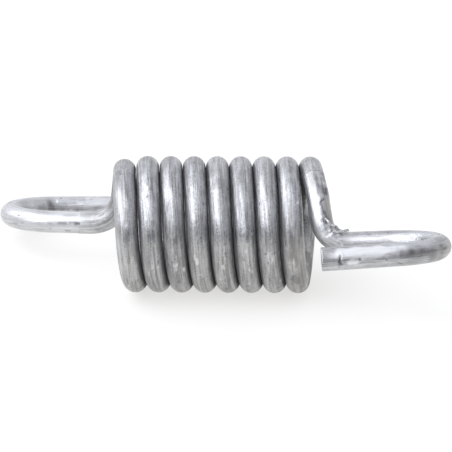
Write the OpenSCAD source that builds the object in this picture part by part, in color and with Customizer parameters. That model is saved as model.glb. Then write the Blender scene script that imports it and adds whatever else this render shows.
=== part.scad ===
// Close-wound extension spring, formed from one length of round wire.
// At each end the last turn comes over its crest, is bent out at the side of
// the coil and makes an open hook, which lies beside and along the coil's axis.
// X runs along the coil and Z is up. The spring lies on Z = 0 as it comes to
// rest: on its coil and on the end of the rear hook.

/* [Wire] */
// Diameter of the drawn wire
wire_d = 3; // [2.4:0.1:3.4]

/* [Coil] */
// Outside diameter of the coil
coil_od = 18; // [15:0.5:24]
// Turns between the first crest and the last
turns = 8; // [4:1:12]
// Clear gap between neighbouring turns
turn_gap = 0.05; // [0.05:0.01:0.6]

/* [Hooks] */
// How far each hook reaches beyond the centre of the last crest
hook_reach = 18; // [16:0.5:24]
// Clear width inside a hook
hook_gap = 9.6; // [7:0.1:12]
// Angle at which a hook's free leg spreads away from its other leg
hook_spread = 12; // [2:1:20]
// Length of the straight free leg
free_leg_l = 10.2; // [4:0.1:12]

/* [Front hook] */
// How far past the crest the wire follows the coil, in degrees
front_follow = 82.5; // [66:0.5:84]
// How far the wire leans away from the coil on that stretch, in degrees
front_lean = 15; // [5:1:18]
// Inside radius of the bend into the hook
front_bend_ri = 1.9; // [1.5:0.1:3]
// How far the hook rises towards its outer end, in degrees
front_rise = 2.5; // [0:0.1:4]
// How far the hook is turned about its leg, which lifts the free leg, in degrees
front_tilt = 1.5; // [-4:0.1:4]

/* [Rear hook] */
// How far past the crest the wire follows the coil, in degrees
rear_follow = 70; // [62:1:76]
// How far the wire leans away from the coil on that stretch, in degrees
rear_lean = 6; // [5:1:18]
// Inside radius of the bend into the hook
rear_bend_ri = 2.9; // [1.5:0.1:3.2]
// How far the hook rises towards its outer end, in degrees
rear_rise = 1.4; // [0:0.1:4]
// How far the hook is turned about its leg, which lifts the free leg, in degrees
rear_tilt = 0.8; // [-4:0.1:4]

/* [Hidden] */
arcs_per_turn = 4;
arc_sides = 96;
wire_sides = 48;
// Neighbouring pieces of the wire stop a hair short of each other inside a
// short collar, a hair proud of the wire, which makes the whole length one solid.
seam_l = 0.24;
seam_proud = 0.006;
seam_gap = 0.06;

arc_turn = 360 / arcs_per_turn;
coil_r = (coil_od - wire_d) / 2;
coil_z = coil_od / 2;
turn_step = wire_d + turn_gap;
pitch = turn_step / cos(asin(turn_step / (2 * PI * coil_r)));
crest_x = turns * pitch / 2;
hook_r = (hook_gap + wire_d) / 2;

function unit(v) = v / norm(v);

// A piece of wire is [start, heading, new heading, bend radius, length].
// A radius of 0 makes it straight.
function bend(from, heading, to, r) = [from, heading, unit(to), r, 0];
function straight(from, heading, l) = [from, heading, heading, 0, l];

// The unit vector from the start of a bend towards its centre
function inward(p) = unit(p[2] - (p[2] * p[1]) * p[1]);
function bend_angle(p) = acos(p[1] * p[2]);
function bend_end(p) =
    p[0] + p[3] * ((1 - cos(bend_angle(p))) * inward(p) + sin(bend_angle(p)) * p[1]);
function straight_end(p) = p[0] + p[4] * p[1];

// The coil is a chain of equal arcs that meet on a true helix. Where they meet
// they share one heading, a little flatter than the helix's own, so that each
// arc lies in a plane.
arc_run = pitch / arcs_per_turn;
arc_chord = 2 * coil_r * sin(arc_turn / 2);
joint_lead = atan(arc_run / arc_chord * cos(arc_turn / 2));

function coil_point(a) = [pitch * a / 360, -coil_r * sin(a), coil_z + coil_r * cos(a)];
function coil_heading(a) =
    [sin(joint_lead), -cos(joint_lead) * cos(a), -cos(joint_lead) * sin(a)];

coil_arc_angle = acos(coil_heading(0) * coil_heading(arc_turn));
coil_arc_r = norm([arc_run, arc_chord]) / (2 * sin(coil_arc_angle / 2));
coil_end_a = 180 * turns;

coil_path = [
    for (i = [0 : turns * arcs_per_turn - 1])
        let (a = i * arc_turn - coil_end_a)
        bend(coil_point(a), coil_heading(a), coil_heading(a + arc_turn), coil_arc_r)
];

// One hook, from the last crest at the +X end of the coil to its cut end
function hook_path(follow, lean, bend_ri, rise, tilt) =
    let (
        leaving = [sin(lean), -cos(lean) * cos(follow), -cos(lean) * sin(follow)],
        outward = [cos(rise), 0, sin(rise)],
        aside = [-sin(rise) * sin(tilt), -cos(tilt), cos(rise) * sin(tilt)],
        back = sin(hook_spread) * aside - cos(hook_spread) * outward,
        over = bend(coil_point(coil_end_a), coil_heading(coil_end_a), leaving, coil_arc_r),
        elbow = bend(bend_end(over), leaving, outward, bend_ri + wire_d / 2),
        round_x = crest_x + hook_reach - wire_d / 2 - hook_r,
        leg_l = (round_x - bend_end(elbow)[0]) / cos(rise),
        leg = straight(bend_end(elbow), outward, leg_l),
        hook_round = bend(straight_end(leg), outward, back, hook_r),
        free_leg = straight(bend_end(hook_round), back, free_leg_l)
    )
    [over, elbow, leg, hook_round, free_leg];

front_path = hook_path(front_follow, front_lean, front_bend_ri, front_rise, front_tilt);
rear_path = hook_path(rear_follow, rear_lean, rear_bend_ri, rear_rise, rear_tilt);

// Seen along the coil, the rear hook's end lies this far from the coil's axis.
// The spring rolls about that axis until the end meets the ground.
rear_end = straight_end(rear_path[4]);
rear_end_r = norm([rear_end[1], rear_end[2] - coil_z]);
roll = asin((coil_z - wire_d / 2) / rear_end_r) - asin((coil_z - rear_end[2]) / rear_end_r);

// Puts its child at the start of a piece, with Z along the wire
module along_wire(p) {
    side = unit(cross(p[1], abs(p[1][2]) < 0.7 ? [0, 0, 1] : [0, 1, 0]));
    up = cross(p[1], side);
    multmatrix([
        [side[0], up[0], p[1][0], p[0][0]],
        [side[1], up[1], p[1][1], p[0][1]],
        [side[2], up[2], p[1][2], p[0][2]]
    ])
        children();
}

module straight_wire(p) {
    along_wire(p) translate([0, 0, seam_gap / 2])
        cylinder(d = wire_d, h = p[4] - seam_gap, $fn = wire_sides);
}

module bent_wire(p) {
    out = -inward(p);
    turn_axis = cross(out, p[1]);
    centre = p[0] - p[3] * out;
    short = seam_gap / p[3] * 90 / PI;
    multmatrix([
        [out[0], p[1][0], turn_axis[0], centre[0]],
        [out[1], p[1][1], turn_axis[1], centre[1]],
        [out[2], p[1][2], turn_axis[2], centre[2]]
    ])
        rotate([0, 0, short])
            rotate_extrude(angle = bend_angle(p) - 2 * short, $fn = arc_sides)
                translate([p[3], 0]) circle(d = wire_d, $fn = wire_sides);
}

module seam(p) {
    along_wire(p) translate([0, 0, -seam_l / 2])
        cylinder(d = wire_d + 2 * seam_proud, h = seam_l, $fn = wire_sides);
}

module wire_along(path) {
    for (p = path) {
        if (p[3] == 0) straight_wire(p);
        else bent_wire(p);
    }
    for (i = [1 : len(path) - 1]) seam(path[i]);
}

module hook(path) {
    wire_along(path);
    seam(path[0]);
}

module spring_wire() {
    color("silver")
        translate([0, 0, coil_z]) rotate([-roll, 0, 0]) translate([0, 0, -coil_z]) {
            wire_along(coil_path);
            hook(front_path);
            rotate([0, 0, 180]) hook(rear_path);
        }
}

spring_wire();
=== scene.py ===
import math

import bmesh
import bpy
import numpy as np
from bpy.props import FloatProperty, FloatVectorProperty, IntProperty, PointerProperty
from mathutils import Matrix, Vector


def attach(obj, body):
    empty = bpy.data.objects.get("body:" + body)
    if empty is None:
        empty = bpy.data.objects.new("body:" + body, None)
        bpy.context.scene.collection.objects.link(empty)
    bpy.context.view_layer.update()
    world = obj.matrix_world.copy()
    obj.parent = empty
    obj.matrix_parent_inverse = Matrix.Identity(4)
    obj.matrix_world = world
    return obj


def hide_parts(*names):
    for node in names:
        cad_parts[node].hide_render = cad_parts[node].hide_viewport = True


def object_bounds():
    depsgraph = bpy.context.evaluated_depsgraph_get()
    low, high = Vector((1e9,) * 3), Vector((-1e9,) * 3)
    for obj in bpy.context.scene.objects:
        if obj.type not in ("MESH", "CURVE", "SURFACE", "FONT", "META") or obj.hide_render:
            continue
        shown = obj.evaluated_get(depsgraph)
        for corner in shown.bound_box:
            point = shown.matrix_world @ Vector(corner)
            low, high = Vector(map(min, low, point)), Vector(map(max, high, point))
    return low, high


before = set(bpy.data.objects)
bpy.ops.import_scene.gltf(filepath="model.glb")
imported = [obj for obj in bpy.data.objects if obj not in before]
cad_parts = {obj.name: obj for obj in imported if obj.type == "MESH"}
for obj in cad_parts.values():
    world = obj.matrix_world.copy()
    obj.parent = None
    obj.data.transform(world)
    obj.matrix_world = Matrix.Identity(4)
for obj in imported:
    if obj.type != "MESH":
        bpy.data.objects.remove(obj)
CAD_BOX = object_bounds()
NODE = "spring_wire"
# Millimetres in a metre
MM = 1000
# What the marks leave on the wire, each a value from 0 to 1 on every point. The grime wear also
# carries painted shade in the grooves between turns and a painted dark reflection on the front end
# turn, and the bare wear also carries painted highlights.
WEAR = ("bare_and_sheen", "grime_and_shade", "tarnish", "oxide")

bl_info = {
    "name": "Side-hook extension spring",
    "version": (1, 0, 0),
    "blender": (4, 5, 0),
    "location": "3D View > Sidebar > Spring",
    "description": "Dresses a close-wound extension spring with worn zinc-plated wire",
    "category": "Add Mesh",
}


def length_prop(name, description, default):
    return FloatProperty(
        name=name, description=description, default=default, subtype="DISTANCE", unit="LENGTH",
        precision=5)


def angle_prop(name, description, degrees):
    return FloatProperty(
        name=name, description=description, default=math.radians(degrees), subtype="ANGLE")


def colour_prop(name, description, default, brightest=1):
    return FloatVectorProperty(
        name=name, description=description, default=default, subtype="COLOR", size=3, min=0,
        soft_max=brightest)


class SPRING_PG_wire(bpy.types.PropertyGroup):
    """Sizes of the wire and of the coil, in metres."""

    wire_d: length_prop("Wire diameter", "Diameter of the drawn wire", 0.003)
    coil_od: length_prop("Coil diameter", "Outside diameter of the coil", 0.018)
    turns: IntProperty(
        name="Turns", description="Turns between the first crest and the last",
        default=8, min=1)
    turn_gap: length_prop("Turn gap", "Clear gap between neighbouring turns", 0.00005)
    sides: IntProperty(
        name="Sides", description="Faces around the wire", default=50, min=12)
    front_step: length_prop(
        "Front ring spacing", "Distance between rings on the coil's front", 0.00022)
    back_step: length_prop("Back ring spacing", "Distance between rings on the coil's back", 0.0006)
    hook_step: length_prop("Hook ring spacing", "Distance between rings on the hooks", 0.00013)


class SPRING_PG_hook(bpy.types.PropertyGroup):
    """How one hook is bent. Both start as the front hook."""

    reach: length_prop("Reach", "How far the hook reaches beyond its last crest", 0.018)
    gap: length_prop("Inside width", "Clear width inside the hook", 0.0096)
    spread: angle_prop("Spread", "Angle at which the free leg spreads away", 12)
    free_leg: length_prop("Free leg", "Length of the straight free leg", 0.0102)
    follow: angle_prop("Follow", "How far past the crest the wire follows the coil", 82.5)
    lean: angle_prop("Lean", "How far the wire leans away from the coil there", 15)
    bend_ri: length_prop("Bend radius", "Inside radius of the bend into the hook", 0.0019)
    rise: angle_prop("Rise", "How far the hook rises towards its outer end", 2.5)
    tilt: angle_prop("Tilt", "How far the hook is turned about its leg, lifting the free leg", 1.5)


class SPRING_PG_finish(bpy.types.PropertyGroup):
    """Colours of the plating and of what shows through it."""

    zinc: colour_prop("Zinc", "Bright plating", (0.545, 0.55, 0.57))
    dull: colour_prop("Dull zinc", "Plating that has gone dull", (0.235, 0.234, 0.235))
    # The bare steel colour also paints highlights on the front hook's free leg and a reflection on
    # the rear end turn's outer face.
    steel: colour_prop("Bare steel", "Steel laid open by the tools", (0.80, 0.805, 0.82))
    # The grime colour also paints the shade in the grooves between turns and a dark reflection on
    # the front end turn.
    grime_and_shade: colour_prop("Grime", "Old oil in scratches and pits", (0.10, 0.095, 0.10))
    oxide: colour_prop("Oxide", "Dull crust on old zinc", (0.50, 0.485, 0.45))
    tarnish: colour_prop("Tarnish", "Brownish tint where the plating is gone", (0.33, 0.31, 0.27))


class SPRING_PG_stage(bpy.types.PropertyGroup):
    """The floor, the room and the camera."""

    floor: colour_prop("Floor", "Colour of the floor", (0.95, 0.945, 0.93))
    bench: colour_prop("Bench", "Colour of the bench around the white sheet", (0.20, 0.205, 0.22))
    bright_side: colour_prop("Bright side", "Colour of the room to the left", (1.42, 1.44, 1.52), 2)
    dark_side: colour_prop("Dark side", "Colour of the room to the right", (0.43, 0.44, 0.475))
    back_wall: colour_prop(
        "Back wall", "Colour of the room behind, to the right", (0.94, 0.96, 1.01), 2)
    right_wall: colour_prop(
        "Right wall", "Colour of the room far round to the right", (0.82, 0.83, 0.88), 2)
    low_room: colour_prop("Low room", "Colour of the room low down in front", (0.12, 0.125, 0.15))
    azimuth: angle_prop("Azimuth", "Camera's angle around the spring", 2.095)
    elevation: angle_prop("Elevation", "Camera's angle above the floor", 24.946)
    lean: angle_prop("Lean", "How far the camera leans to the side", -0.603)
    distance: length_prop("Distance", "Camera's distance from the coil's middle", 0.4017)
    aim_right: length_prop(
        "Aim right", "How far right of the coil's middle the camera aims", 0.001125)
    aim_up: length_prop("Aim up", "How far above the coil's middle the camera aims", -0.000213)
    lens: FloatProperty(
        name="Lens", description="Focal length in millimetres on a 36 mm sensor",
        default=242.9)


def unit(v):
    return v / np.linalg.norm(v)


class Route:
    """The wire's centreline, built up bend by bend as it is formed."""

    def __init__(self, start, heading):
        self.points = [np.array(start, float)]
        self.heading = unit(np.array(heading, float))

    def straight(self, length, step):
        count = max(1, round(length / step))
        start = self.points[-1]
        for i in range(1, count + 1):
            self.points.append(start + self.heading * length * i / count)

    def bend(self, to, radius, step):
        to = unit(np.array(to, float))
        start, ahead = self.points[-1], self.heading
        inward = unit(to - (to @ ahead) * ahead)
        angle = math.acos(max(-1.0, min(1.0, to @ ahead)))
        count = max(2, round(angle * radius / step))
        for i in range(1, count + 1):
            a = angle * i / count
            self.points.append(
                start + radius * ((1 - math.cos(a)) * inward + math.sin(a) * ahead))
        self.heading = to


def coil_numbers(wire):
    """The coil's mean radius, pitch, last crest and the heading its arcs share."""
    radius = (wire.coil_od - wire.wire_d) / 2
    step = wire.wire_d + wire.turn_gap
    pitch = step / math.cos(math.asin(step / (2 * math.pi * radius)))
    run, chord = pitch / 4, 2 * radius * math.sin(math.pi / 4)
    lead = math.atan(run / chord * math.cos(math.pi / 4))
    return radius, pitch, wire.turns * pitch / 2, lead


def coil_heading(lead, angle):
    return np.array([
        math.sin(lead), -math.cos(lead) * math.cos(angle), -math.cos(lead) * math.sin(angle)])


def coil_arc_radius(wire):
    radius, pitch, _, lead = coil_numbers(wire)
    turned = math.acos(coil_heading(lead, 0) @ coil_heading(lead, math.pi / 2))
    chord = math.hypot(pitch / 4, 2 * radius * math.sin(math.pi / 4))
    return chord / (2 * math.sin(turned / 2))


def hook_points(wire, hook):
    """From the last crest at the +X end to the cut end."""
    radius, _, crest, lead = coil_numbers(wire)
    middle = wire.coil_od / 2
    last = math.pi * wire.turns
    route = Route((crest, 0, middle + radius), coil_heading(lead, last))
    step = wire.hook_step
    cos, sin = math.cos, math.sin
    leaving = (
        sin(hook.lean), -cos(hook.lean) * cos(hook.follow), -cos(hook.lean) * sin(hook.follow))
    outward = np.array([cos(hook.rise), 0, sin(hook.rise)])
    aside = np.array([
        -sin(hook.rise) * sin(hook.tilt), -cos(hook.tilt), cos(hook.rise) * sin(hook.tilt)])
    back = sin(hook.spread) * aside - cos(hook.spread) * outward
    route.bend(leaving, coil_arc_radius(wire), step)
    route.bend(outward, hook.bend_ri + wire.wire_d / 2, step)
    round_r = (hook.gap + wire.wire_d) / 2
    round_x = crest + hook.reach - wire.wire_d / 2 - round_r
    route.straight((round_x - route.points[-1][0]) / cos(hook.rise), step)
    route.bend(back, round_r, step)
    route.straight(hook.free_leg, step)
    return route.points


def coil_points(wire):
    """From the first crest to the last, ends left out."""
    radius, _, crest, lead = coil_numbers(wire)
    first = -math.pi * wire.turns
    start = (-crest, 0, wire.coil_od / 2 + radius)
    route = Route(start, coil_heading(lead, first))
    for quarter in range(4 * wire.turns):
        ahead = first + (quarter + 1) * math.pi / 2
        # Every second pair of quarters is on the side of the front hook.
        step = wire.front_step if quarter % 4 in (0, 1) else wire.back_step
        route.bend(coil_heading(lead, ahead), coil_arc_radius(wire), step)
    return route.points[1:-1]


# Where the rings nearest a cut end lie, from the end. They are close, so that its edge can be
# rounded.
TIP_RINGS = (0.00003, 0.00007, 0.00012)


def wire_points(wire, front, rear):
    """The whole wire, from the rear hook's cut end to the front hook's."""
    turned = [p * np.array([-1, -1, 1]) for p in hook_points(wire, rear)]
    points = turned[::-1] + coil_points(wire) + hook_points(wire, front)
    first, ahead = points[0], unit(points[1] - points[0])
    last, behind = points[-1], unit(points[-2] - points[-1])
    head = [first] + [first + ahead * t for t in TIP_RINGS]
    tail = [last + behind * t for t in TIP_RINGS[::-1]] + [last]
    return head + points[2:-2] + tail


def lying_roll(wire, rear):
    """How far the spring rolls about its coil before the rear hook's end meets the ground."""
    middle = wire.coil_od / 2
    end = hook_points(wire, rear)[-1]
    reach = math.hypot(end[1], end[2] - middle)
    return math.asin((middle - wire.wire_d / 2) / reach) - math.asin((middle - end[2]) / reach)


def lay_down(points, wire, rear):
    """Rolls points about the coil's axis, from both hooks level to how the spring lies."""
    roll, middle = lying_roll(wire, rear), wire.coil_od / 2
    c, s = math.cos(roll), math.sin(roll)
    y, z = points[:, 1], points[:, 2] - middle
    return np.stack([points[:, 0], y * c + z * s, middle - y * s + z * c], axis=1)


def socket(tree, name, kind, default=None, out=False):
    made = tree.interface.new_socket(
        name, in_out="OUTPUT" if out else "INPUT", socket_type="NodeSocket" + kind)
    if default is not None:
        made.default_value = default


def put(tree, target, value):
    """Links a socket into an input, or sets the input to a plain value."""
    if isinstance(value, bpy.types.NodeSocket):
        tree.links.new(value, target)
    else:
        target.default_value = value


def node(tree, kind, inputs=None, **settings):
    """A new node. Its inputs take sockets or plain values, by name or by number."""
    made = tree.nodes.new(kind)
    for name, value in settings.items():
        setattr(made, name, value)
    for name, value in (inputs or {}).items():
        put(tree, made.inputs[name], value)
    return made


def maths(tree, operation, *terms, clamp=False):
    """One maths node. Terms are sockets or numbers."""
    made = node(tree, "ShaderNodeMath", dict(enumerate(terms)), operation=operation,
                use_clamp=clamp)
    return made.outputs[0]


def added(tree, start, *terms, clamp=False):
    """start plus each term's socket times its weight."""
    total = start
    for i, (value, weight) in enumerate(terms, 1):
        total = maths(
            tree, "MULTIPLY_ADD", value, weight, total, clamp=clamp and i == len(terms))
    return total


def kept(tree, kind, name, geometry, value):
    """Keeps a value on a curve's points, so that it can be read after the sweep."""
    made = tree.nodes.new("GeometryNodeCaptureAttribute")
    made.capture_items.new(kind, name)
    put(tree, made.inputs["Geometry"], geometry)
    put(tree, made.inputs[name], value)
    return made.outputs["Geometry"], made.outputs[name]


def sweep_tree():
    """Sweeps a round section along a curve and marks where each point lies on the wire."""
    tree = bpy.data.node_groups.new("Drawn Wire", "GeometryNodeTree")
    for name, kind, default in (
            ("Geometry", "Geometry", None), ("Wire Diameter", "Float", 0.003),
            ("Sides", "Int", 50), ("Draw Mark Depth", "Float", 0.000006),
            ("Seed", "Float", 3.0), ("Material", "Material", None)):
        socket(tree, name, kind, default)
    socket(tree, "Geometry", "Geometry", out=True)
    given = node(tree, "NodeGroupInput").outputs

    circle = node(tree, "GeometryNodeCurvePrimitiveCircle", {
        "Resolution": given["Sides"],
        "Radius": maths(tree, "DIVIDE", given["Wire Diameter"], 2)})
    section, on_section = kept(
        tree, "VECTOR", "Section", circle.outputs["Curve"],
        node(tree, "GeometryNodeInputPosition").outputs[0])
    route, along = kept(
        tree, "FLOAT", "Along", given["Geometry"],
        node(tree, "GeometryNodeSplineParameter").outputs["Length"])
    sweep = node(tree, "GeometryNodeCurveToMesh", {
        "Curve": route, "Profile Curve": section, "Fill Caps": True})
    across = node(tree, "ShaderNodeSeparateXYZ", {0: on_section}).outputs
    where = node(tree, "ShaderNodeCombineXYZ", {0: along, 1: across[0], 2: across[1]}).outputs[0]
    stored = node(tree, "GeometryNodeStoreNamedAttribute", {
        "Name": "on_wire", "Geometry": sweep.outputs["Mesh"], "Value": where,
    }, data_type="FLOAT_VECTOR", domain="POINT")

    # Shallow lengthwise ridges, 20 times as long as they are wide
    lines_per_metre = (120, 2400, 2400)
    stretched = node(
        tree, "ShaderNodeVectorMath", {0: where, 1: lines_per_metre}, operation="MULTIPLY")
    ridges = node(tree, "ShaderNodeTexNoise", {
        "Scale": 1, "Detail": 2, "Vector": stretched.outputs[0], "W": given["Seed"],
    }, noise_dimensions="4D")
    centred = maths(tree, "SUBTRACT", ridges.outputs[0], 0.5)
    depth = maths(tree, "MULTIPLY", centred, given["Draw Mark Depth"])
    offset = node(tree, "ShaderNodeVectorMath", {
        0: node(tree, "GeometryNodeInputNormal").outputs[0], "Scale": depth}, operation="SCALE")
    moved = node(tree, "GeometryNodeSetPosition", {
        "Geometry": stored.outputs["Geometry"], "Offset": offset.outputs[0]})

    smooth = node(tree, "GeometryNodeSetShadeSmooth", {"Geometry": moved.outputs["Geometry"]})
    real = node(tree, "GeometryNodeRealizeInstances", {"Geometry": smooth.outputs["Geometry"]})
    painted = node(tree, "GeometryNodeSetMaterial", {
        "Geometry": real.outputs["Geometry"], "Material": given["Material"]})
    node(tree, "NodeGroupOutput", {"Geometry": painted.outputs["Geometry"]})
    return tree


def set_inputs(modifier, values):
    for item in modifier.node_group.interface.items_tree:
        if item.item_type == "SOCKET" and item.in_out == "INPUT" and item.name in values:
            modifier[item.identifier] = values[item.name]


def swept_wire(points, wire, material):
    """The wire as a plain mesh, made by the sweep's node tree."""
    curve = bpy.data.curves.new("wire_route", "CURVE")
    curve.dimensions = "3D"
    curve.twist_mode = "MINIMUM"
    spline = curve.splines.new("POLY")
    spline.points.add(len(points) - 1)
    flat = np.ones((len(points), 4), np.float32)
    flat[:, :3] = points
    spline.points.foreach_set("co", flat.ravel())
    source = bpy.data.objects.new("wire_route", curve)
    bpy.context.scene.collection.objects.link(source)
    modifier = source.modifiers.new("Drawn Wire", "NODES")
    modifier.node_group = bpy.data.node_groups.get("Drawn Wire") or sweep_tree()
    set_inputs(modifier, {
        "Wire Diameter": wire.wire_d, "Sides": wire.sides, "Material": material})
    bpy.context.view_layer.update()
    depsgraph = bpy.context.evaluated_depsgraph_get()
    mesh = bpy.data.meshes.new_from_object(
        source.evaluated_get(depsgraph), preserve_all_data_layers=True, depsgraph=depsgraph)
    bpy.data.objects.remove(source)
    bpy.data.curves.remove(curve)
    return mesh


# The raised rim of a pressed mark: where its crest lies and how wide it is, as shares of the
# mark's own half size
RIM_AT, RIM_WIDTH = 1.15, 0.22
# Cells along each side of the noise, and where on it the marks start
CELLS, NOISE_FROM = 64, (7.3, 31.7)


class WireShape:
    """The swept wire's rings as arrays, in millimetres, with what the marks do to them."""

    def __init__(self, mesh, wire):
        count = len(mesh.vertices)
        co = np.empty(count * 3)
        mesh.vertices.foreach_get("co", co)
        self.points = co.reshape(-1, wire.sides, 3) * MM
        self.radius = wire.wire_d / 2 * MM
        self.middle = self.points.mean(axis=1)
        step = np.diff(self.middle, axis=0)
        self.run = np.concatenate([[0], np.cumsum(np.linalg.norm(step, axis=1))])
        ahead = np.gradient(self.middle, axis=0)
        self.ahead = ahead / np.linalg.norm(ahead, axis=1)[:, None]
        out = self.points - self.middle[:, None]
        self.out = out / np.linalg.norm(out, axis=2)[..., None]
        self.wear = {name: np.zeros(self.points.shape[:2]) for name in WEAR}
        self.lattice = np.random.default_rng(11).random((CELLS, CELLS))

    def roughness(self, u, v, size):
        """Smooth noise from -1 to 1 over the opened-out surface."""
        x, y = u / size + NOISE_FROM[0], v / size + NOISE_FROM[1]
        i, j = np.floor(x).astype(int), np.floor(y).astype(int)
        fx, fy = x - i, y - j
        fx, fy = fx * fx * (3 - 2 * fx), fy * fy * (3 - 2 * fy)
        pick = lambda a, b: self.lattice[a % CELLS, b % CELLS]
        low = pick(i, j) * (1 - fx) + pick(i + 1, j) * fx
        high = pick(i, j + 1) * (1 - fx) + pick(i + 1, j + 1) * fx
        return 2 * (low * (1 - fy) + high * fy) - 1

    def sideways(self, rows, facing):
        """How far round the wire each point lies from the line that faces a direction, in mm."""
        ahead, out = self.ahead[rows], self.out[rows]
        facing = np.array(facing, float)
        front = facing - (ahead @ facing)[:, None] * ahead
        front /= np.linalg.norm(front, axis=1)[:, None]
        side = np.cross(ahead, front)
        angle = np.arctan2(
            np.einsum("rsk,rk->rs", out, side), np.einsum("rsk,rk->rs", out, front))
        return angle * self.radius

    def mark(self, run, facing, size, slant=0, depth=0, rim=0, bare_and_sheen=0, grime_and_shade=0, tarnish=0,
             oxide=0, ragged=0.25, soft=0.4, grain=0.5):
        """Presses or wears one mark. size is along and round the wire, from the middle.

        facing is the way the mark faces, slant is in degrees and the rest of the sizes are in
        mm. A wear below 0 takes that wear away.
        """
        along, across = size
        # A ragged edge and a rim reach past the mark's own size.
        reach = max(along, across) * 1.7 + 0.3
        rows = np.where(np.abs(self.run - run) < reach)[0]
        if not len(rows):
            raise ValueError("a mark lies off the wire")
        u = (self.run[rows] - run)[:, None] * np.ones(self.points.shape[1])
        v = self.sideways(rows, facing)
        turn = math.radians(slant)
        p, q = u * math.cos(turn) + v * math.sin(turn), v * math.cos(turn) - u * math.sin(turn)
        away = np.sqrt((p / along) ** 2 + (q / across) ** 2)
        away += ragged * self.roughness(p + run, q, grain)
        full = np.clip((1 - away) / soft, 0, 1)
        full = full * full * (3 - 2 * full)
        ridge = np.exp(-((away - RIM_AT) / RIM_WIDTH) ** 2)
        self.points[rows] += self.out[rows] * (rim * ridge - depth * full)[..., None]
        for name, amount in zip(WEAR, (bare_and_sheen, grime_and_shade, tarnish, oxide)):
            worn = self.wear[name]
            if amount > 0:
                worn[rows] = np.maximum(worn[rows], amount * full)
            elif amount < 0:
                worn[rows] *= 1 + amount * full

    def pressed(self, start, end, facing, across, depth, bare_and_sheen, lead_in=0.14):
        """A stretch that a bending tool held, with a step where it stopped."""
        margin, lead_out, soft_side = 0.6, 0.14, 0.35
        rows = np.where((self.run > start - margin) & (self.run < end + margin))[0]
        u = self.run[rows][:, None] * np.ones(self.points.shape[1])
        v = self.sideways(rows, facing)
        ragged = 0.10 * self.roughness(u, v, 0.7)
        full = np.clip((u - start + ragged) / lead_in, 0, 1)
        full *= np.clip((end - u + ragged) / lead_out, 0, 1)
        full *= np.clip((across - np.abs(v)) / (soft_side * across), 0, 1)
        self.points[rows] -= self.out[rows] * (depth * full)[..., None]
        worn = self.wear["bare_and_sheen"]
        worn[rows] = np.maximum(worn[rows], bare_and_sheen * full)

    def surface(self, run, angle_from, facing, lift):
        """A point on or over the wire, angle_from mm round it from the line that faces a way."""
        row = int(np.clip(np.searchsorted(self.run, run), 0, len(self.run) - 1))
        ahead = self.ahead[row]
        front = np.array(facing, float)
        front -= (front @ ahead) * ahead
        front /= np.linalg.norm(front)
        turn = angle_from / self.radius
        out = front * math.cos(turn) + np.cross(ahead, front) * math.sin(turn)
        return self.middle[row] + out * (self.radius + lift)

    def write(self, mesh, wire, rear):
        laid = lay_down(self.points.reshape(-1, 3) / MM, wire, rear)
        mesh.vertices.foreach_set("co", laid.ravel())
        for name in WEAR:
            layer = mesh.attributes.new(name, "FLOAT", "POINT")
            layer.data.foreach_set("value", self.wear[name].ravel().astype(np.float32))
        mesh.update()


def cut_ends(shape):
    """Cropped ends: cut on a slight slant, with a rounded edge."""
    # How far the slant reaches back along the wire, and how far each of the last rings draws in
    reach, edge = 1.4, (0.10, 0.05, 0.015)
    last = len(shape.run) - 1
    for end, inwards, across in ((0, 1, (-0.03, 0.99, 0.15)), (last, -1, (0.03, -0.99, 0.15))):
        across = unit(np.array(across))
        ahead = shape.ahead[end]
        level = ahead - (ahead @ across) * across
        rows = np.where(np.abs(shape.run - shape.run[end]) < reach)[0]
        near = np.clip(1 - np.abs(shape.run[rows] - shape.run[end]) / reach, 0, 1)
        slant = -shape.radius * (shape.out[end] @ level) / (ahead @ level)
        shape.points[rows] += ahead * (near[:, None] * slant)[..., None]
        for ring, draw_in in enumerate(edge):
            row = end + inwards * ring
            side = shape.sideways(np.array([row]), (0.1, -0.5, 0.9))[0]
            lean = 0.75 + 0.35 * np.cos(side / shape.radius)
            shape.points[row] -= shape.out[row] * (draw_in * lean)[:, None]
        rough = shape.roughness(shape.out[end][:, 1] * 1.5, shape.out[end][:, 2] * 1.5, 0.5)
        shape.points[end] += ahead * (0.02 * rough)[:, None]


def aged_coil(shape, wire):
    """The lower half of the coil, which lies on damp shelves, has gone dull and rough."""
    x, y, z = shape.middle.T
    round_coil = np.degrees(np.arctan2(np.abs(y), z - wire.coil_od / 2 * MM))[:, None]
    across = np.arange(wire.sides) * 2 * math.pi / wire.sides * shape.radius
    run, side = np.meshgrid(shape.run, across, indexing="ij")
    ragged = 9 * shape.roughness(run, side, 1.3) + 6 * shape.roughness(run, side, 0.4)
    # The crust starts this many degrees round from the top, and is full 20 degrees on.
    crust_from, crust_over = 84, 20
    # How far along from the middle the coil reaches with its end turns, and where its end
    # faces begin
    coil_half, end_face_from, end_face_over = 14, 9.2, 1.2
    on_coil = np.abs(x)[:, None] < coil_half
    crust = np.clip((round_coil + ragged - crust_from) / crust_over, 0, 1)
    shape.wear["oxide"] += crust * on_coil
    # Old oil where neighbouring turns nearly touch, with painted shade laid into the grooves
    # between the turns.
    flank = np.abs(shape.out[..., 0]) + 0.05 * shape.roughness(run, side, 0.5)
    # The outer faces of the end turns have no neighbour.
    beyond = np.clip((np.abs(x) - end_face_from) / end_face_over, 0, 1)[:, None]
    flank = flank * (1 - beyond * (shape.out[..., 0] * x[:, None] > 0))
    # The painted shade reaches further out of the groove low on the coil than high up.
    low_down = np.clip((round_coil - 45) / 50, 0, 1)
    oil_and_shade = 0.9 * np.clip((flank - (0.88 - 0.13 * low_down)) / 0.14, 0, 1) * on_coil
    shape.wear["grime_and_shade"] = np.maximum(shape.wear["grime_and_shade"], oil_and_shade)


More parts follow.
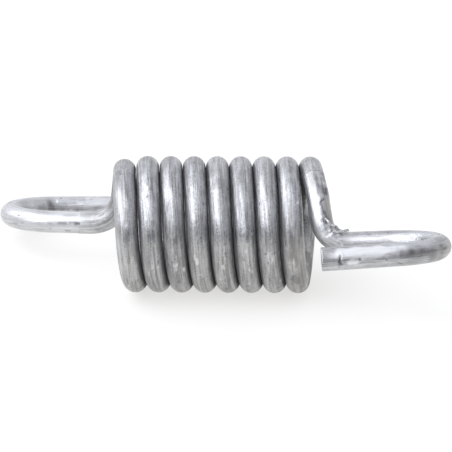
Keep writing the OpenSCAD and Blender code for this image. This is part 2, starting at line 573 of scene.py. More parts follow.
def drawn_aside(shape, run, spread, by):
    """Moves the wire at one run by a step in mm, and less and less to both sides of it."""
    near = np.exp(-((shape.run - run) / spread) ** 2)
    shape.points += near[:, None, None] * np.array(by)


def sunk_crest(shape):
    """The rear hook's bend pulled the crest before it down a little."""
    drawn_aside(shape, 51.0, 6.0, (0, 0, -0.50))


def hugging_elbow(shape):
    """The front hook's bend was made a little closer to the coil than drawn."""
    drawn_aside(shape, 438.2, 3.2, (-0.45, 0, 0))


# The marks that follow say where the forming tools and wear touched the wire. Runs are
# millimetres from the rear hook's cut end, and directions are those of the spring with its
# hooks level.


def polished_hooks(shape):
    """Both hooks slid through the tools, which left them brighter than the coil."""
    length, mark = shape.run[-1], shape.mark
    for middle, half, facing, amount in (
            (20, 27, (0, -0.4, 0.9), 0.28), (20, 27, (0, -1, -0.4), 0.40),
            (20, 27, (0, 0.9, -0.3), 0.30),
            (length - 19, 19, (0, -0.4, 0.9), 0.30), (length - 19, 19, (0, -1, -0.3), 0.28),
            (length - 19, 19, (0, 0.9, -0.3), 0.28)):
        mark(middle, facing, (half, 5.5), bare_and_sheen=amount, ragged=0.10, soft=0.3, grain=2.5)
    # Brighter plating on the rear end turn's outer face, which has no neighbour: a painted
    # reflection of the bright room to the left.
    mark(59.0, (-0.95, -0.30, 0.10), (9.0, 2.4), bare_and_sheen=0.26, ragged=0.20, soft=0.8, grain=1.5)


def front_turn_marks(shape):
    """The front end turn, held from just past its crest down to the elbow, and the elbow."""
    mark = shape.mark
    shape.pressed(431.05, 439.6, (-0.15, -0.75, 0.5), 3.3, 0.05, 0.25)
    mark(430.97, (-0.1, -0.45, 0.89), (0.10, 2.6), depth=0.03, grime_and_shade=0.55, ragged=0.5, grain=0.9)
    mark(431.25, (0.75, -0.2, 0.6), (0.22, 0.9), slant=-20, depth=0.02, grime_and_shade=0.5, ragged=0.5)
    mark(434.0, (-0.62, -0.70, 0.4), (3.5, 0.6), bare_and_sheen=0.6, ragged=0.3, soft=0.7, grain=0.8)
    mark(436.9, (-0.40, -0.85, 0.2), (2.2, 0.75), bare_and_sheen=0.6, ragged=0.3, soft=0.7, grain=0.6)
    mark(433.2, (0.5, -0.6, 0.6), (1.5, 0.22), slant=8, grime_and_shade=0.45, tarnish=0.3, ragged=0.5)
    mark(434.2, (0.55, -0.65, 0.55), (0.8, 0.16), slant=10, depth=0.10, rim=0.03, grime_and_shade=0.8)
    mark(434.0, (0.88, -0.4, 0.35), (0.7, 0.55), depth=0.16, rim=0.03, grime_and_shade=0.9, ragged=0.4)
    mark(432.0, (0.86, -0.3, 0.45), (0.9, 0.35), depth=0.05, grime_and_shade=0.55, ragged=0.6)
    mark(435.3, (0.28, -0.82, 0.50), (0.14, 0.60), slant=-28, depth=0.09, rim=0.05, grime_and_shade=0.95)
    mark(435.65, (0.10, -0.9, 0.44), (0.30, 0.12), slant=10, depth=0.06, rim=0.02, grime_and_shade=0.8)
    mark(436.3, (0.26, -0.89, 0.38), (1.1, 0.20), slant=-6, depth=0.07, grime_and_shade=0.8, ragged=0.5)
    mark(437.3, (0.42, -0.84, 0.33), (1.1, 0.18), slant=10, depth=0.07, grime_and_shade=0.85, ragged=0.5)
    mark(436.6, (0.74, -0.64, 0.2), (2.4, 0.9), depth=0.05, tarnish=0.55, ragged=0.4, grain=0.4)
    mark(436.0, (0.55, -0.75, 0.3), (3.6, 1.3), bare_and_sheen=-0.8, ragged=0.4, soft=0.8, grain=0.7)
    # A dark streak right of the highlight on the front end turn: a painted reflection of the darker
    # room to the right.
    mark(432.9, (0.08, -0.82, 0.55), (2.2, 0.50), bare_and_sheen=-1, grime_and_shade=0.50, ragged=0.35, soft=0.9)
    mark(435.8, (-0.82, -0.56, 0.03), (0.65, 0.13), slant=-8, depth=0.05, grime_and_shade=0.6)
    mark(436.6, (-0.75, -0.65, 0.0), (0.4, 0.09), slant=25, depth=0.04, grime_and_shade=0.45)
    # The inside of the elbow, which the tool tore.
    mark(437.5, (0.15, -0.96, 0.25), (0.34, 0.20), depth=0.10, rim=0.05, grime_and_shade=0.85)
    mark(438.3, (0.40, -0.84, 0.36), (0.75, 0.50), depth=0.08, rim=0.06, bare_and_sheen=0.45, ragged=0.8)
    mark(438.9, (0.50, -0.72, 0.48), (0.22, 0.14), depth=0.10, rim=0.08, grime_and_shade=0.6, ragged=0.6)
    mark(439.5, (0.42, -0.76, 0.50), (0.9, 0.30), slant=10, depth=0.06, rim=0.07, bare_and_sheen=0.6,
         ragged=0.8)
    mark(440.5, (0.34, -0.62, 0.70), (0.95, 0.15), slant=12, depth=0.14, grime_and_shade=1.0, ragged=0.35)
    mark(440.2, (-0.20, -0.92, 0.15), (2.6, 1.2), bare_and_sheen=0.35, ragged=0.3, soft=0.9)
    mark(439.3, (-0.62, -0.66, -0.42), (1.4, 0.12), slant=10, depth=0.03, grime_and_shade=0.3)
    mark(440.4, (-0.40, -0.80, -0.45), (1.2, 0.10), slant=-14, depth=0.03, grime_and_shade=0.3)
    mark(441.8, (0.02, -0.92, -0.38), (1.3, 0.14), depth=0.02, grime_and_shade=0.28, ragged=0.5)


def front_hook_marks(shape):
    """Bright bands where the tool rubbed the front hook, the one along the free leg's top also a
    painted highlight, dull ones, dirt and scratches.
    """
    mark = shape.mark
    mark(447.5, (0.0, -0.80, 0.60), (3.4, 0.6), bare_and_sheen=0.75, ragged=0.25, soft=0.7, grain=1.2)
    mark(445.0, (0.0, -0.30, 0.95), (3.5, 0.5), bare_and_sheen=-0.7, ragged=0.4, grain=0.8)
    mark(452.1, (-0.55, -0.50, 0.67), (1.1, 0.06), slant=32, depth=0.03, grime_and_shade=0.5)
    mark(453.0, (-0.60, -0.45, 0.66), (1.2, 0.06), slant=-30, depth=0.03, grime_and_shade=0.5)
    mark(454.2, (-0.70, -0.30, 0.64), (0.9, 0.05), slant=40, depth=0.02, grime_and_shade=0.4)
    # The free leg's top and front, as bright as bare steel all along: where the tool rubbed, made
    # this bright as a painted highlight.
    mark(470.3, (0.21, -0.80, 0.56), (7.4, 1.0), bare_and_sheen=1.0, ragged=0.3, soft=0.5, grain=1.0)
    mark(470.0, (0.21, -0.97, 0.10), (3.2, 0.5), bare_and_sheen=0.9, ragged=0.3, soft=0.6, grain=0.8)
    mark(456.5, (0.4, -0.70, 0.4), (8.0, 4.2), bare_and_sheen=-0.80, ragged=0.35, soft=0.8, grain=1.5)
    mark(463.5, (0.55, -0.80, 0.10), (4.4, 1.7), bare_and_sheen=-0.95, grime_and_shade=0.5, ragged=0.35, soft=1.1,
         grain=0.9)
    mark(464.9, (0.40, -0.90, 0.22), (2.8, 1.2), bare_and_sheen=-1, grime_and_shade=1.0, ragged=0.3, soft=1.2,
         grain=0.6)
    mark(466.6, (0.25, -0.90, 0.30), (1.8, 0.9), bare_and_sheen=-0.6, grime_and_shade=0.15, ragged=0.3, soft=1.2)
    mark(462.0, (0.62, -0.72, 0.45), (2.2, 0.35), grime_and_shade=0.55, ragged=0.6, soft=0.8, grain=0.5)
    mark(460.0, (0.85, -0.5, -0.1), (4.5, 1.9), tarnish=0.45, ragged=0.6, soft=0.9, grain=0.9)
    mark(460.3, (0.88, -0.44, 0.2), (0.7, 0.16), grime_and_shade=0.5, depth=0.03)
    mark(462.5, (0.62, -0.76, -0.1), (1.9, 0.16), grime_and_shade=0.4, depth=0.02, ragged=0.6)
    mark(466.3, (0.20, -0.76, -0.62), (0.75, 0.10), slant=25, depth=0.05, grime_and_shade=0.7)
    mark(467.9, (0.20, -0.95, -0.22), (0.35, 0.12), slant=55, depth=0.05, grime_and_shade=0.7)
    mark(472.2, (0.2, -0.95, -0.2), (1.1, 0.45), bare_and_sheen=1.0, ragged=0.3)
    mark(471.3, (0.22, -0.97, -0.06), (0.26, 0.15), depth=0.10, rim=0.03, grime_and_shade=0.9)
    mark(473.85, (0.19, -0.97, 0.02), (0.26, 0.60), slant=14, depth=0.13, rim=0.05, grime_and_shade=1.0)
    mark(473.75, (0.20, -0.93, -0.28), (0.30, 0.32), slant=-10, depth=0.10, rim=0.03, grime_and_shade=0.8)
    mark(473.95, (0.19, -0.80, -0.58), (0.13, 0.55), slant=-18, depth=0.04, grime_and_shade=0.4)
    mark(469.5, (0.2, -0.9, -0.4), (2.6, 0.07), depth=0.02, grime_and_shade=0.35, ragged=0.6)


def rear_hook_marks(shape):
    """The rear hook's leg was held in a jaw that stopped short of the elbow."""
    mark = shape.mark
    shape.pressed(24.5, 32.3, (0.0, -0.97, 0.2), 3.4, 0.04, 0.60, lead_in=5.0)
    mark(37.0, (0.0, -0.9, 0.3), (4.7, 4.5), bare_and_sheen=-0.85, oxide=0.55, ragged=0.2, soft=0.5,
         grain=1.5)
    mark(32.1, (0.01, -1.0, 0.02), (0.50, 0.24), depth=0.07, grime_and_shade=0.85, ragged=0.6)
    mark(31.2, (0.0, -1.0, 0.06), (0.45, 0.16), depth=0.04, grime_and_shade=0.6, ragged=0.7)
    mark(29.9, (0.0, -1.0, 0.04), (1.1, 0.12), depth=0.03, grime_and_shade=0.5, ragged=0.7)
    mark(28.6, (-0.05, -1.0, 0.0), (0.6, 0.06), depth=0.03, grime_and_shade=0.4, ragged=0.6)
    mark(32.34, (0.0, -0.9, -0.35), (0.05, 0.75), depth=0.03, grime_and_shade=0.5)
    mark(30.8, (-0.01, -0.68, -0.73), (0.40, 0.14), depth=0.05, grime_and_shade=0.6, ragged=0.5)
    mark(31.0, (0.0, -0.66, 0.75), (1.1, 0.14), tarnish=0.5, grime_and_shade=0.15, ragged=0.4, soft=0.8)
    mark(30.7, (0.0, -0.75, 0.66), (0.9, 0.10), slant=3, tarnish=0.45, ragged=0.4, soft=0.8)
    mark(24.6, (-0.5, -0.85, -0.2), (1.3, 0.08), slant=-8, depth=0.02, grime_and_shade=0.3, ragged=0.5)
    mark(10.6, (0.35, -0.85, 0.38), (1.5, 1.5), bare_and_sheen=-1, grime_and_shade=1.0, ragged=0.3, soft=1.2,
         grain=0.8)
    mark(9.6, (0.30, -0.92, 0.20), (2.6, 0.9), bare_and_sheen=-1, grime_and_shade=0.60, ragged=0.3, soft=1.2,
         grain=0.8)
    mark(12.2, (0.50, -0.85, 0.10), (1.8, 0.7), grime_and_shade=0.50, ragged=0.3, soft=1.2)
    mark(14.2, (0.80, -0.50, 0.30), (2.2, 1.4), bare_and_sheen=0.55, ragged=0.3, soft=0.8)
    mark(3.8, (0.10, -0.75, 0.60), (4.8, 1.7), bare_and_sheen=0.75, ragged=0.3, soft=0.6)
    mark(13.6, (0.55, -0.5, 0.66), (2.4, 0.7), bare_and_sheen=-0.2, tarnish=0.18, ragged=0.4, soft=1.0)
    mark(6.0, (0.2, -0.9, -0.15), (4.2, 0.45), bare_and_sheen=-0.5, grime_and_shade=0.10, ragged=0.5, soft=0.8)
    mark(19.5, (-0.2, -0.5, 0.85), (2.2, 0.09), slant=4, depth=0.02, grime_and_shade=0.25)


def coil_marks(shape):
    """The first crest's rough patch, pits and flecks on the coil's front, and crusts below."""
    mark = shape.mark
    for run, facing, size in (
            (52.3, (-0.55, -0.35, 0.76), 0.5), (52.9, (-0.2, -0.4, 0.9), 0.45),
            (53.5, (-0.35, -0.5, 0.79), 0.4), (52.2, (0.05, -0.35, 0.93), 0.35)):
        mark(run, facing, (size, size * 0.7), depth=0.05, rim=0.06, ragged=0.9, grain=0.35)
    for run, facing, size in (
            (346.6, (-0.33, -0.90, -0.28), 0.24), (346.55, (0.45, -0.86, -0.22), 0.20),
            (252.2, (0.31, -0.92, -0.26), 0.20), (199.4, (0.65, -0.65, 0.38), 0.22),
            (340.9, (-0.63, -0.71, 0.30), 0.20), (347.7, (-0.12, -0.90, -0.42), 0.18),
            (295.4, (-0.03, -0.97, 0.24), 0.20)):
        mark(run, facing, (size, size * 0.6), depth=0.06, grime_and_shade=0.9)
    mark(395.5, (0.30, -0.88, -0.32), (5.0, 1.1), tarnish=0.5, ragged=0.5, soft=0.7, grain=0.7)
    mark(397.0, (0.10, -0.85, -0.5), (6.5, 2.6), tarnish=0.35, grime_and_shade=0.16, ragged=0.5, soft=0.7,
         grain=0.4)
    mark(405.0, (0.95, -0.20, 0.20), (7.0, 1.5), tarnish=0.75, grime_and_shade=0.35, ragged=0.7, grain=0.5)
    mark(402.5, (0.86, -0.50, -0.10), (4.0, 0.5), grime_and_shade=0.5, ragged=0.7, soft=0.7, grain=0.4)
    mark(405.0, (0.80, -0.55, 0.10), (6.0, 0.35), grime_and_shade=0.7, ragged=0.5, soft=0.7)
    mark(392.0, (0.30, -0.95, 0.0), (3.4, 0.10), slant=2, depth=0.03, grime_and_shade=0.4, ragged=0.5)
    mark(396.5, (0.10, -0.85, -0.5), (2.0, 0.08), slant=-5, depth=0.03, bare_and_sheen=0.8, ragged=0.6)
    # Pale crusts low on the turns.
    for run, facing, size in (
            (159.2, (0.0, -0.87, -0.50), 0.50), (206.1, (-0.15, -0.86, -0.48), 0.40),
            (205.2, (-0.35, -0.84, -0.42), 0.35), (253.9, (0.0, -0.86, -0.50), 0.35),
            (301.3, (0.2, -0.86, -0.48), 0.30), (348.8, (-0.2, -0.84, -0.50), 0.35),
            (395.3, (-0.30, -0.84, -0.46), 0.45), (396.6, (-0.25, -0.80, -0.55), 0.45),
            (395.6, (0.25, -0.84, -0.48), 0.35), (396.9, (0.20, -0.80, -0.57), 0.45)):
        mark(run, facing, (size * 1.4, size * 0.5), depth=0.03, rim=0.04, bare_and_sheen=0.55, ragged=0.9,
             grain=0.25)
    mark(397.6, (-0.05, -0.76, -0.65), (1.5, 1.1), bare_and_sheen=-0.5, grime_and_shade=0.55, ragged=0.5, soft=0.8,
         grain=0.35)


def torn_burr(shape, wire, rear, material):
    """Slivers that the bending tool lifted at the inside of the front elbow."""
    chance = np.random.default_rng(5)
    # Each sliver is a line of (run, facing, lift) on the wire, then its width and thickness.
    slivers = (
        (((439.2, 0.40, -0.83, 0.40, 0.02), (439.65, 0.36, -0.80, 0.46, 0.12),
          (440.1, 0.37, -0.70, 0.60, 0.16), (440.5, 0.36, -0.56, 0.74, 0.18),
          (441.0, 0.32, -0.34, 0.88, 0.18), (441.4, 0.28, -0.12, 0.95, 0.20),
          (441.7, 0.24, 0.02, 0.97, 0.12)), 0.26, 0.07),
        (((438.0, 0.40, -0.86, 0.30, 0.0), (438.4, 0.46, -0.78, 0.40, 0.12),
          (438.9, 0.50, -0.70, 0.50, 0.14), (439.5, 0.51, -0.60, 0.60, 0.08)), 0.34, 0.06),
        (((437.2, 0.10, -0.97, 0.20, 0.0), (437.6, 0.22, -0.95, 0.22, 0.10),
          (438.1, 0.34, -0.90, 0.28, 0.08)), 0.26, 0.06),
        (((438.9, 0.20, -0.93, 0.30, 0.0), (439.4, 0.28, -0.88, 0.38, 0.10),
          (439.9, 0.32, -0.80, 0.50, 0.10)), 0.28, 0.06),
    )
    made = bmesh.new()
    for line, width, thick in slivers:
        knots = np.array(line)
        steps = 8 * (len(knots) - 1)
        at = np.linspace(0, len(knots) - 1, steps + 1)
        path = np.stack([np.interp(at, np.arange(len(knots)), knots[:, i]) for i in range(5)], 1)
        rings = []
        for i, (run, *facing, lift) in enumerate(path):
            taper = math.sin(math.pi * (0.12 + 0.80 * i / steps)) ** 0.6
            half = width / 2 * taper * chance.uniform(0.75, 1.2)
            curl = 0.12 * taper * lift / 0.1
            # How far to the side each corner lies, and how high over the wire
            corners = (
                (half, lift - thick), (half * 0.9, lift + thick * 0.2),
                (0, lift + thick * 0.6 + curl * 0.2), (-half, lift + curl),
                (-half * 1.05, lift + curl - thick * 0.5), (0, lift - thick * 0.7))
            spots = [shape.surface(run, side, facing, height) for side, height in corners]
            laid = lay_down(np.array(spots) / MM, wire, rear)
            rings.append([made.verts.new(spot) for spot in laid])
        for a, b in zip(rings, rings[1:]):
            for j in range(len(a)):
                k = (j + 1) % len(a)
                made.faces.new((a[j], a[k], b[k], b[j]))
        made.faces.new(rings[0][::-1])
        made.faces.new(rings[-1])
    bmesh.ops.recalc_face_normals(made, faces=made.faces)
    mesh = bpy.data.meshes.new("torn_burr")
    made.to_mesh(mesh)
    made.free()
    mesh.materials.append(material)
    return mesh


def scuffed_underside(shape, wire, count, seed):
    """Flecks on the coil's lower half, where the crust has chipped or caught dirt."""
    chance = np.random.default_rng(seed)
    axis_z, coil_r, inner_half, above_axis = wire.coil_od / 2 * MM, 7.5, 12.4, 1.5
    x, y, z = shape.middle.T
    rows = np.where((np.abs(x) < inner_half) & (z < axis_z + above_axis))[0]
    for row in chance.choice(rows, count):
        facing = (chance.normal() * 0.55, y[row] / coil_r, (z[row] - axis_z) / coil_r)
        size = chance.uniform(0.08, 0.26)
        light = chance.random() < 0.68
        shape.mark(shape.run[row], facing, (size * 1.5, size * 0.8), chance.uniform(-30, 30),
                   depth=0.02 if light else 0.03, rim=0.02, bare_and_sheen=0.28 * light,
                   grime_and_shade=0 if light else 0.45, ragged=0.7, grain=0.25)


def handling_marks(shape, count, seed):
    """Small nicks, flecks and scratches all over, from being tipped in and out of bins."""
    chance = np.random.default_rng(seed)
    # Two in five are nicks, a third are scratches and the rest are pits.
    nicks, scratches = 0.40, 0.72
    for _ in range(count):
        run = chance.uniform(1, shape.run[-1] - 1)
        facing = chance.normal(size=3)
        length, slant = chance.uniform(0.25, 0.8), chance.uniform(-25, 25)
        kind = chance.random()
        if kind < nicks:
            shape.mark(run, facing, (length * 0.5, length * 0.35), slant, depth=0.035, rim=0.03,
                       bare_and_sheen=0.7, ragged=0.6, grain=0.3)
        elif kind < scratches:
            shape.mark(run, facing, (length * 1.6, 0.08), slant * 0.5, depth=0.02, grime_and_shade=0.45,
                       ragged=0.5)
        else:
            shape.mark(run, facing, (0.18, 0.14), slant, depth=0.05, grime_and_shade=0.85)


def drawing_lines_group():
    """Lengthwise lines left by the drawing die, for anything that knows its place on the wire."""
    tree = bpy.data.node_groups.new("Drawing Lines", "ShaderNodeTree")
    socket(tree, "On Wire", "Vector")
    for name, default in (("Line Width", 0.00008), ("Line Length", 0.006), ("Contrast", 1.0)):
        socket(tree, name, "Float", default)
    socket(tree, "Lines", "Float", out=True)
    given = node(tree, "NodeGroupInput").outputs
    per_length, per_width = (
        maths(tree, "DIVIDE", 1, given[name]) for name in ("Line Length", "Line Width"))
    scale = node(tree, "ShaderNodeCombineXYZ", {0: per_length, 1: per_width, 2: per_width})
    stretched = node(tree, "ShaderNodeVectorMath", {
        0: given["On Wire"], 1: scale.outputs[0]}, operation="MULTIPLY")
    lines = node(tree, "ShaderNodeTexNoise", {
        "Scale": 1, "Detail": 3, "Roughness": 0.6, "Vector": stretched.outputs[0]})
    centred = maths(tree, "SUBTRACT", lines.outputs[0], 0.5)
    spread = maths(tree, "MULTIPLY", centred, given["Contrast"])
    node(tree, "NodeGroupOutput", {"Lines": maths(tree, "ADD", spread, 0.5, clamp=True)})


def worn_plating_group():
    """Dull blotches, grain and dark pits of handled zinc plating."""
    tree = bpy.data.node_groups.new("Worn Plating", "ShaderNodeTree")
    socket(tree, "Place", "Vector")
    for name, default in (
            ("Blotch Size", 0.0025), ("Grain Size", 0.00028), ("Pit Size", 0.0005),
            ("Pit Amount", 0.12)):
        socket(tree, name, "Float", default)
    for name in ("Blotches", "Grain", "Pits"):
        socket(tree, name, "Float", out=True)
    given, done = node(tree, "NodeGroupInput").outputs, node(tree, "NodeGroupOutput")
    # Pits show where their noise is over this, less the amount.
    rarest_pit, pit_edge = 0.86, 0.06
    low = maths(tree, "SUBTRACT", rarest_pit, given["Pit Amount"])
    for size, detail, name, least, most in (
            ("Blotch Size", 4, "Blotches", 0.42, 0.62), ("Grain Size", 2, "Grain", 0.3, 0.7),
            ("Pit Size", 1, "Pits", low, maths(tree, "ADD", low, pit_edge))):
        cloud = node(tree, "ShaderNodeTexNoise", {
            "Detail": detail, "Vector": given["Place"],
            "Scale": maths(tree, "DIVIDE", 1, given[size])})
        spread = node(tree, "ShaderNodeMapRange", {
            "From Min": least, "From Max": most, "Value": cloud.outputs[0]})
        put(tree, done.inputs[name], spread.outputs[0])


def group_node(tree, group, values):
    made = node(tree, "ShaderNodeGroup", node_tree=bpy.data.node_groups[group])
    for name, value in values.items():
        put(tree, made.inputs[name], value)
    return made.outputs


def wear(tree, name):
    """The wear of one kind that the marks left on the wire."""
    made = node(tree, "ShaderNodeAttribute", attribute_type="GEOMETRY", attribute_name=name)
    return made.outputs["Fac"]


def mix_colour(tree, factor, a, b):
    """A colour mix. a and b are sockets or plain colours."""
    made = node(tree, "ShaderNodeMix", {"Factor": factor}, data_type="RGBA")
    for name, value in (("A", a), ("B", b)):
        target = [s for s in made.inputs if s.name == name and s.type == "RGBA"][0]
        put(tree, target, value if isinstance(value, bpy.types.NodeSocket) else (*value, 1))
    return [s for s in made.outputs if s.type == "RGBA"][0]


def new_material(name):
    material = bpy.data.materials.new(name)
    material.use_nodes = True
    tree = material.node_tree
    return material, tree, tree.nodes["Principled BSDF"].inputs


# Width and length in metres, and contrast, of each kind of drawing line
FINE_LINES = (0.00016, 0.0022, 2.6)
BROAD_LINES = (0.00042, 0.007, 2.6)
SCRATCHES = (0.00010, 0.012, 1.0)
HAIRLINES = (0.00004, 0.005, 2.5)


def plated_wire_material(finish):
    """Zinc-plated drawn wire: lengthwise lines, dull blotches, pits, bare and dirty marks."""
    material, tree, shader = new_material("plated_wire")
    on_wire = node(
        tree, "ShaderNodeAttribute", attribute_type="GEOMETRY", attribute_name="on_wire")
    place = node(tree, "ShaderNodeTexCoord").outputs["Object"]
    fine, broad, scratch, micro = (
        group_node(tree, "Drawing Lines", {
            "On Wire": on_wire.outputs["Vector"], "Line Width": line_width,
            "Line Length": line_length, "Contrast": contrast})["Lines"]
        for line_width, line_length, contrast in (
            FINE_LINES, BROAD_LINES, SCRATCHES, HAIRLINES))
    oxide = wear(tree, "oxide")
    worn = group_node(tree, "Worn Plating", {
        "Place": place, "Pit Amount": maths(tree, "MULTIPLY_ADD", oxide, -0.02, 0.085)})
    blotches, grain, pits = (worn[name] for name in ("Blotches", "Grain", "Pits"))

    # How bright the plating is: lines and grain, less where it has gone dull.
    tone = added(
        tree, -0.41, (broad, 0.90), (fine, 0.62), (grain, 0.42), (blotches, -0.25), clamp=True)
    plating = mix_colour(tree, tone, finish.dull, finish.zinc)
    crust = added(tree, -0.18, (grain, 0.9), (fine, 0.7))
    crust = maths(tree, "MULTIPLY", oxide, crust, clamp=True)
    streaks = added(tree, -0.50, (broad, 1.4), (fine, 0.6), clamp=True)
    rind = mix_colour(tree, streaks, finish.dull, finish.oxide)
    plating = mix_colour(tree, maths(tree, "MULTIPLY", crust, 0.75), plating, rind)

    # What the tools laid open, with its painted highlights, the tint where plating is gone, then
    # dirt and painted shade over all.
    bare_and_sheen = maths(tree, "MULTIPLY", wear(tree, "bare_and_sheen"), added(tree, 0.80, (fine, 0.35)), clamp=True)
    opened = mix_colour(tree, bare_and_sheen, plating, finish.steel)
    tarnish = maths(
        tree, "MULTIPLY", wear(tree, "tarnish"), added(tree, 0.4, (grain, 0.7)), clamp=True)
    brown = mix_colour(tree, tarnish, opened, finish.tarnish)
    # Dark lines lie where the scratches' noise is under this.
    line_below, sharpness = 0.335, 9.0
    lines = maths(tree, "SUBTRACT", line_below, scratch)
    lines = maths(tree, "MULTIPLY", lines, sharpness, clamp=True)
    # The dirt mask takes in the grime wear, so it also holds painted groove shade and a painted
    # dark reflection.
    dirt = maths(tree, "MAXIMUM", pits, wear(tree, "grime_and_shade"))
    dirt = maths(tree, "MAXIMUM", dirt, maths(tree, "MULTIPLY", lines, 0.5))
    put(tree, shader["Base Color"], mix_colour(tree, dirt, brown, finish.grime_and_shade))
    put(tree, shader["Metallic"], added(tree, 1.0, (dirt, -0.6), (crust, -0.28)))
    put(tree, shader["Roughness"], added(
        tree, 0.22, (fine, 0.10), (blotches, 0.08), (bare_and_sheen, 0.16), (tarnish, 0.12), (crust, 0.08),
        (dirt, 0.25)))

    height = added(
        tree, fine, (broad, 1.2), (micro, 0.7), (grain, 0.5), (crust, 1.5), (pits, -1.2),
        (lines, -0.7))
    bump = node(tree, "ShaderNodeBump", {
        "Strength": added(tree, 0.5, (bare_and_sheen, -0.35)), "Distance": 0.00003, "Height": height})
    put(tree, shader["Normal"], bump.outputs["Normal"])
    return material


def torn_steel_material(finish):
    """Torn steel with plating left on it: patchy, rough and part dark."""
    material, tree, shader = new_material("torn_steel")
    worn = group_node(tree, "Worn Plating", {
        "Place": node(tree, "ShaderNodeTexCoord").outputs["Object"],
        "Blotch Size": 0.0006, "Grain Size": 0.00015, "Pit Amount": 0.25})
    metal = mix_colour(tree, worn["Grain"], finish.dull, finish.steel)
    put(tree, shader["Base Color"], mix_colour(tree, worn["Pits"], metal, finish.grime_and_shade))
    put(tree, shader["Metallic"], 0.9)
    put(tree, shader["Roughness"], added(tree, 0.35, (worn["Blotches"], 0.15)))
    bump = node(tree, "ShaderNodeBump", {
        "Strength": 0.6, "Distance": 0.00003, "Height": worn["Grain"]})
    put(tree, shader["Normal"], bump.outputs["Normal"])
    return material


def wire_in_hand(scene, material):
    """The swept wire's mesh, and its shape ready to be marked."""
    wire = scene.spring_wire
    mesh = swept_wire(wire_points(wire, scene.spring_front, scene.spring_rear), wire, material)
    return mesh, WireShape(mesh, wire)


def add_piece(scene, name, mesh):
    """Puts one finished piece of the spring in the CAD wire's place."""
    piece = bpy.data.objects.new(name, mesh)
    mesh.name = name
    scene.collection.objects.link(piece)
    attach(piece, "root")
    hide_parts(NODE)


class SPRING_OT_wire(bpy.types.Operator):
    """Make the dressed wire along the CAD wire's route"""

    bl_idname = "spring.wire"
    bl_label = "Wire"

    def execute(self, context):
        scene = context.scene
        wire = scene.spring_wire
        drawing_lines_group()
        worn_plating_group()
        mesh, shape = wire_in_hand(scene, plated_wire_material(scene.spring_finish))
        handling_marks(shape, count=260, seed=7)
        scuffed_underside(shape, wire, count=190, seed=13)
        polished_hooks(shape)
        front_turn_marks(shape)
        front_hook_marks(shape)
        rear_hook_marks(shape)
        coil_marks(shape)
        aged_coil(shape, wire)
        cut_ends(shape)
        sunk_crest(shape)
        hugging_elbow(shape)
        shape.write(mesh, wire, scene.spring_rear)
        add_piece(scene, "worn_spring_wire", mesh)
        return {"FINISHED"}


class SPRING_OT_burr(bpy.types.Operator):
    """Make the slivers that the bending tool tore from the wire"""

    bl_idname = "spring.burr"
    bl_label = "Burr"

    def execute(self, context):
        scene = context.scene
        material = torn_steel_material(scene.spring_finish)
        plain_wire, shape = wire_in_hand(scene, material)
        bpy.data.meshes.remove(plain_wire)
        burr = torn_burr(shape, scene.spring_wire, scene.spring_rear, material)
        add_piece(scene, "torn_burr", burr)
        return {"FINISHED"}


def soft_lamp(name, size, power, place, target):
    """A softbox that faces its target, a little cooler than white."""
    light = bpy.data.lights.new(name, "AREA")
    light.shape = "RECTANGLE"
    light.size, light.size_y = size
    light.energy = power
    light.color = (0.97, 0.98, 1.03)
    lamp = bpy.data.objects.new(name, light)
    lamp.location = place
    aim = Vector(target) - Vector(place)
    lamp.rotation_euler = aim.to_track_quat("-Z", "Y").to_euler()
    bpy.context.scene.collection.objects.link(lamp)


def ramp(tree, value, low, high):
    """0 below low and 1 above high, eased in between."""
    made = node(tree, "ShaderNodeMapRange", {"From Min": low, "From Max": high, "Value": value},
                interpolation_type="SMOOTHSTEP")
    return made.outputs[0]


def studio_room(stage):
    """Pale walls to the left and behind, a darker room to the right, and darkness low in front."""
    world = bpy.data.worlds.new("studio_room")
    world.use_nodes = True
    tree = world.node_tree
    direction = node(tree, "ShaderNodeTexCoord").outputs["Generated"]
    x, y, z = node(tree, "ShaderNodeSeparateXYZ", {0: direction}).outputs
    rightwards = ramp(tree, x, -0.75, 0.40)
    ahead = mix_colour(tree, rightwards, stage.bright_side, stage.dark_side)
    ahead = mix_colour(tree, ramp(tree, x, 0.25, 0.62), ahead, stage.right_wall)
    behind = mix_colour(tree, rightwards, stage.bright_side, stage.back_wall)
    front = mix_colour(tree, ramp(tree, z, 0.06, 0.30), stage.low_room, ahead)
    room = mix_colour(tree, ramp(tree, y, -0.15, 0.45), front, behind)
    put(tree, tree.nodes["Background"].inputs["Color"], room)
    return world


# The white sheet on the bench, in metres: how far back its middle lies, where it starts to give
# way to the bench, and where it has ended
SHEET_BACK, SHEET_R, BENCH_R = 0.06, 0.135, 0.22
# How much of the sheet's look is its own white. The rest is lit, and shows the spring's shadow.
SHEET_GLOW = 0.68


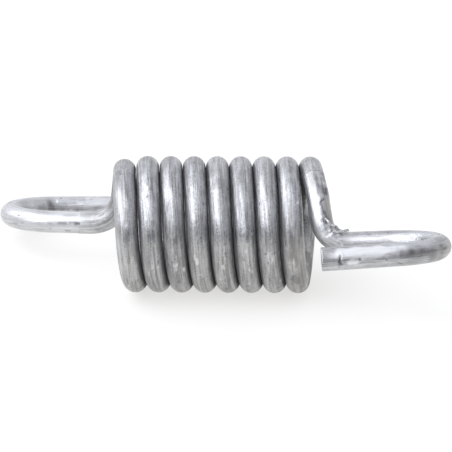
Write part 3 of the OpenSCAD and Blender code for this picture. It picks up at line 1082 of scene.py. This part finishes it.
def pale_floor(stage):
    """A white sheet under the spring, on a darker bench. The sheet keeps part of its shadow."""
    material, tree, matt = new_material("pale_floor")
    place = node(tree, "ShaderNodeTexCoord").outputs["Object"]
    place = node(tree, "ShaderNodeSeparateXYZ", {0: place}).outputs
    x, y = place[0], maths(tree, "SUBTRACT", place[1], SHEET_BACK)
    square = maths(tree, "MULTIPLY_ADD", x, x, maths(tree, "MULTIPLY", y, y))
    on_bench = ramp(tree, maths(tree, "SQRT", square), SHEET_R, BENCH_R)
    ground = mix_colour(tree, on_bench, stage.floor, stage.bench)
    put(tree, matt["Base Color"], ground)
    put(tree, matt["Roughness"], 0.8)
    put(tree, matt["Specular IOR Level"], 0.2)
    shown = node(tree, "ShaderNodeEmission", {"Color": ground})
    rays = node(tree, "ShaderNodeLightPath").outputs
    seen = maths(tree, "MAXIMUM", rays["Is Camera Ray"], rays["Is Glossy Ray"])
    seen = maths(tree, "MAXIMUM", seen, rays["Is Transmission Ray"])
    both = node(tree, "ShaderNodeMixShader", {
        0: maths(tree, "MULTIPLY", seen, SHEET_GLOW),
        1: tree.nodes["Principled BSDF"].outputs[0], 2: shown.outputs[0]})
    put(tree, tree.nodes["Material Output"].inputs["Surface"], both.outputs[0])
    return material


def add_floor(scene):
    """A round floor, a hair under the spring."""
    mesh = bpy.data.meshes.new("floor")
    made = bmesh.new()
    bmesh.ops.create_circle(made, cap_ends=True, segments=96, radius=4)
    made.to_mesh(mesh)
    made.free()
    floor = bpy.data.objects.new("floor", mesh)
    floor.location.z = CAD_BOX[0][2] - 0.00002
    scene.collection.objects.link(floor)
    mesh.materials.append(pale_floor(scene.spring_stage))


def add_camera(scene, middle):
    """The camera, which looks at the coil's middle from in front and above."""
    stage = scene.spring_stage
    data = bpy.data.cameras.new("camera")
    data.lens, data.sensor_width = stage.lens, 36
    data.clip_start, data.clip_end = 0.01, 50
    camera = bpy.data.objects.new("camera", data)
    scene.collection.objects.link(camera)
    az, el = stage.azimuth, stage.elevation
    back = Vector((math.sin(az) * math.cos(el), -math.cos(az) * math.cos(el), math.sin(el)))
    level = Vector((math.cos(az), math.sin(az), 0))
    right = level * math.cos(stage.lean) + back.cross(level) * math.sin(stage.lean)
    up = back.cross(right)
    aim = middle + right * stage.aim_right + up * stage.aim_up
    turn = Matrix((right, up, back)).transposed().to_4x4()
    camera.matrix_world = Matrix.Translation(aim + back * stage.distance) @ turn
    scene.camera = camera


class SPRING_OT_stage(bpy.types.Operator):
    """Make the floor, the lights and the camera"""

    bl_idname = "spring.stage"
    bl_label = "Stage"

    def execute(self, context):
        scene = context.scene
        middle = Vector((0, 0, scene.spring_wire.coil_od / 2))
        add_floor(scene)
        soft_lamp("big_softbox", size=(1.45, 1.8), power=13.6, place=(-0.52, -0.66, 0.98),
                  target=middle)
        soft_lamp("left_softbox", size=(0.9, 0.9), power=3.6, place=(-1.05, 0.35, 0.80),
                  target=middle)
        scene.world = studio_room(scene.spring_stage)
        add_camera(scene, middle)
        scene.view_settings.view_transform = "Standard"
        return {"FINISHED"}


class SPRING_PT_panel(bpy.types.Panel):
    """Lists the spring's operators and sizes"""

    bl_idname = "SPRING_PT_panel"
    bl_label = "Extension spring"
    bl_space_type = "VIEW_3D"
    bl_region_type = "UI"
    bl_category = "Spring"

    def draw(self, context):
        layout = self.layout
        for name in POINTERS:
            group = getattr(context.scene, name)
            box = layout.box()
            for key in group.bl_rna.properties.keys():
                if key not in ("rna_type", "name"):
                    box.prop(group, key)
        for operator in OPERATORS:
            layout.operator(operator.bl_idname)


GROUPS = (SPRING_PG_wire, SPRING_PG_hook, SPRING_PG_finish, SPRING_PG_stage)
OPERATORS = (SPRING_OT_wire, SPRING_OT_burr, SPRING_OT_stage)
POINTERS = {
    "spring_wire": SPRING_PG_wire,
    "spring_front": SPRING_PG_hook,
    "spring_rear": SPRING_PG_hook,
    "spring_finish": SPRING_PG_finish,
    "spring_stage": SPRING_PG_stage,
}


def register():
    for cls in (*GROUPS, *OPERATORS, SPRING_PT_panel):
        bpy.utils.register_class(cls)
    for name, group in POINTERS.items():
        setattr(bpy.types.Scene, name, PointerProperty(type=group))


def unregister():
    for name in POINTERS:
        delattr(bpy.types.Scene, name)
    for cls in reversed((*GROUPS, *OPERATORS, SPRING_PT_panel)):
        bpy.utils.unregister_class(cls)


def main():
    register()
    # The rear hook's bend is rounder than the front one's, and its leg leaves the coil sooner.
    rear = bpy.context.scene.spring_rear
    rear.follow = math.radians(70)
    rear.lean = math.radians(6)
    rear.bend_ri = 0.0029
    rear.rise = math.radians(1.4)
    rear.tilt = math.radians(0.8)
    bpy.ops.spring.wire()
    bpy.ops.spring.burr()
    bpy.ops.spring.stage()


if __name__ == "__main__":
    main()
